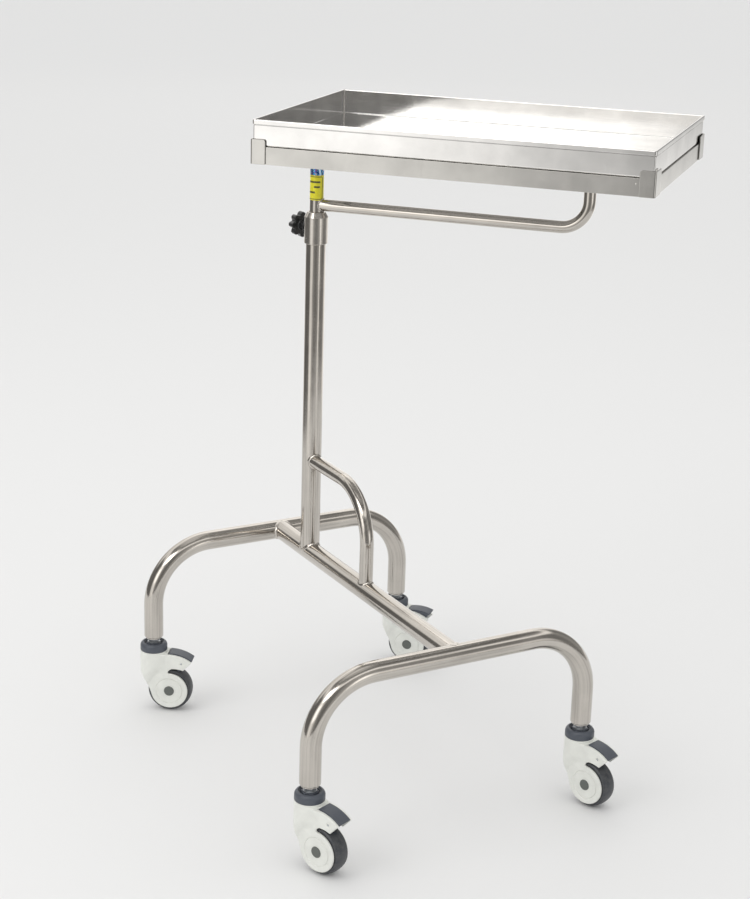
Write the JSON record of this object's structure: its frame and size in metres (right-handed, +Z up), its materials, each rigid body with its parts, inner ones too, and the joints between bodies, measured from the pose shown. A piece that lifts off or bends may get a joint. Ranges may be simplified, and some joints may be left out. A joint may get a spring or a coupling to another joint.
{
  "type": "instrument cart",
  "caption": "Steel instrument cart: a rimmed tray on a height-adjustable swivelling post with a side arm, over a welded tube base with braked swivel casters.",
  "frame": {"origin": "on the floor, under the centre of the bounding box of the rest pose", "axes": "+X along the spine tube from the rear arch to the front arch, +Y across the cart, +Z up"},
  "size_m": [0.7152, 0.7924, 1.0295],
  "materials": {
    "tube_steel": "satin",
    "tray_steel": "polished",
    "zinc_plate": "satin",
    "nylon": "matte",
    "black_plastic": "satin",
    "slate_plastic": "matte",
    "white_plastic": "satin",
    "tyre_rubber": "matte",
    "brass": "satin"
  },
  "bodies": {
    "base": {"rear_arch_tube": "tube_steel", "front_arch_tube": "tube_steel", "spine_tube": "tube_steel", "column_tube": "tube_steel", "column_brace": "tube_steel", "column_collar": "tube_steel", "guide_bush": "nylon", "rear_left_leg_plug": "tube_steel", "rear_left_caster_stem": "zinc_plate", "rear_right_leg_plug": "tube_steel", "rear_right_caster_stem": "zinc_plate", "front_left_leg_plug": "tube_steel", "front_left_caster_stem": "zinc_plate", "front_right_leg_plug": "tube_steel", "front_right_caster_stem": "zinc_plate"},
    "clamp_pad": {"clamp_pad": "brass"},
    "clamp_knob": {"clamp_screw": "zinc_plate", "clamp_knob": "black_plastic"},
    "post_guide": {"post_guide": "nylon"},
    "tray_post": {"post_tube": "tube_steel", "tray_arm": "tube_steel", "frame_rail_left": "tube_steel", "frame_rail_right": "tube_steel", "frame_rail_near": "tube_steel", "frame_rail_far": "tube_steel", "cross_bar_post": "tube_steel", "cross_bar_arm": "tube_steel", "corner_bracket_near_left": "tube_steel", "corner_bracket_near_right": "tube_steel", "corner_bracket_far_left": "tube_steel", "corner_bracket_far_right": "tube_steel"},
    "tray": {"tray_pan": "tray_steel"},
    "rear_left_fork": {"rear_left_swivel_cap": "slate_plastic", "rear_left_caster_housing": "white_plastic", "rear_left_wheel_axle": "slate_plastic", "rear_left_stop_pin": "zinc_plate"},
    "rear_left_wheel": {"rear_left_wheel_tyre": "tyre_rubber", "rear_left_wheel_hub": "nylon"},
    "rear_left_pedal": {"rear_left_brake_pedal": "slate_plastic"},
    "rear_right_fork": {"rear_right_swivel_cap": "slate_plastic", "rear_right_caster_housing": "white_plastic", "rear_right_wheel_axle": "slate_plastic", "rear_right_stop_pin": "zinc_plate"},
    "rear_right_wheel": {"rear_right_wheel_tyre": "tyre_rubber", "rear_right_wheel_hub": "nylon"},
    "rear_right_pedal": {"rear_right_brake_pedal": "slate_plastic"},
    "front_left_fork": {"front_left_swivel_cap": "slate_plastic", "front_left_caster_housing": "white_plastic", "front_left_wheel_axle": "slate_plastic", "front_left_stop_pin": "zinc_plate"},
    "front_left_wheel": {"front_left_wheel_tyre": "tyre_rubber", "front_left_wheel_hub": "nylon"},
    "front_left_pedal": {"front_left_brake_pedal": "slate_plastic"},
    "front_right_fork": {"front_right_swivel_cap": "slate_plastic", "front_right_caster_housing": "white_plastic", "front_right_wheel_axle": "slate_plastic", "front_right_stop_pin": "zinc_plate"},
    "front_right_wheel": {"front_right_wheel_tyre": "tyre_rubber", "front_right_wheel_hub": "nylon"},
    "front_right_pedal": {"front_right_brake_pedal": "slate_plastic"}
  },
  "joints": [
    {"name": "height_slide", "type": "slide", "parent": "base", "child": "post_guide", "axis": [0, 0, 1], "range_m": [0, 0.32]},
    {"name": "tray_swivel", "type": "hinge", "parent": "post_guide", "child": "tray_post", "pos_m": [-0.19906, -0.13768, 0.9], "axis": [0, 0, 1], "continuous": true},
    {"name": "tray_lift", "type": "slide", "parent": "tray_post", "child": "tray", "axis": [0, 0, 1], "range_m": [0, 0.08]},
    {"name": "clamp_pad_slide", "type": "slide", "parent": "base", "child": "clamp_pad", "axis": [-1, 0, 0], "range_m": [0, 0.00167]},
    {"name": "knob_turn", "type": "hinge", "parent": "clamp_pad", "child": "clamp_knob", "pos_m": [-0.24407, -0.13768, 0.8315], "axis": [-1, 0, 0], "range_deg": [0, 480]},
    {"name": "rear_left_swivel", "type": "hinge", "parent": "base", "child": "rear_left_fork", "pos_m": [-0.31206, -0.37318, 0.1], "axis": [0, 0, 1], "continuous": true},
    {"name": "rear_left_roll", "type": "hinge", "parent": "rear_left_fork", "child": "rear_left_wheel", "pos_m": [-0.29584, -0.34939, 0.0375], "axis": [-0.8261, 0.5635, 0], "continuous": true},
    {"name": "rear_left_brake", "type": "hinge", "parent": "rear_left_fork", "child": "rear_left_pedal", "pos_m": [-0.29347, -0.34592, 0.1], "axis": [0.8261, -0.5635, 0], "range_deg": [0, 14]},
    {"name": "rear_right_swivel", "type": "hinge", "parent": "base", "child": "rear_right_fork", "pos_m": [-0.31206, 0.09782, 0.1], "axis": [0, 0, 1], "continuous": true},
    {"name": "rear_right_roll", "type": "hinge", "parent": "rear_right_fork", "child": "rear_right_wheel", "pos_m": [-0.29104, 0.1175, 0.0375], "axis": [-0.6833, 0.7302, 0], "continuous": true},
    {"name": "rear_right_brake", "type": "hinge", "parent": "rear_right_fork", "child": "rear_right_pedal", "pos_m": [-0.28797, 0.12037, 0.1], "axis": [0.6833, -0.7302, 0], "range_deg": [-14, 0]},
    {"name": "front_left_swivel", "type": "hinge", "parent": "base", "child": "front_left_fork", "pos_m": [0.27243, -0.37318, 0.1], "axis": [0, 0, 1], "continuous": true},
    {"name": "front_left_roll", "type": "hinge", "parent": "front_left_fork", "child": "front_left_wheel", "pos_m": [0.29914, -0.36239, 0.0375], "axis": [-0.3746, 0.9272, 0], "continuous": true},
    {"name": "front_left_brake", "type": "hinge", "parent": "front_left_fork", "child": "front_left_pedal", "pos_m": [0.30303, -0.36081, 0.1], "axis": [0.3746, -0.9272, 0], "range_deg": [0, 14]},
    {"name": "front_right_swivel", "type": "hinge", "parent": "base", "child": "front_right_fork", "pos_m": [0.27243, 0.09782, 0.1], "axis": [0, 0, 1], "continuous": true},
    {"name": "front_right_roll", "type": "hinge", "parent": "front_right_fork", "child": "front_right_wheel", "pos_m": [0.29998, 0.10624, 0.0375], "axis": [-0.2924, 0.9563, 0], "continuous": true},
    {"name": "front_right_brake", "type": "hinge", "parent": "front_right_fork", "child": "front_right_pedal", "pos_m": [0.30399, 0.10747, 0.1], "axis": [0.2924, -0.9563, 0], "range_deg": [0, 14]}
  ],
  "couplings": [
    {"joint": "knob_turn", "follows": "clamp_pad_slide", "rad_per_m": 5026.5}
  ]
}
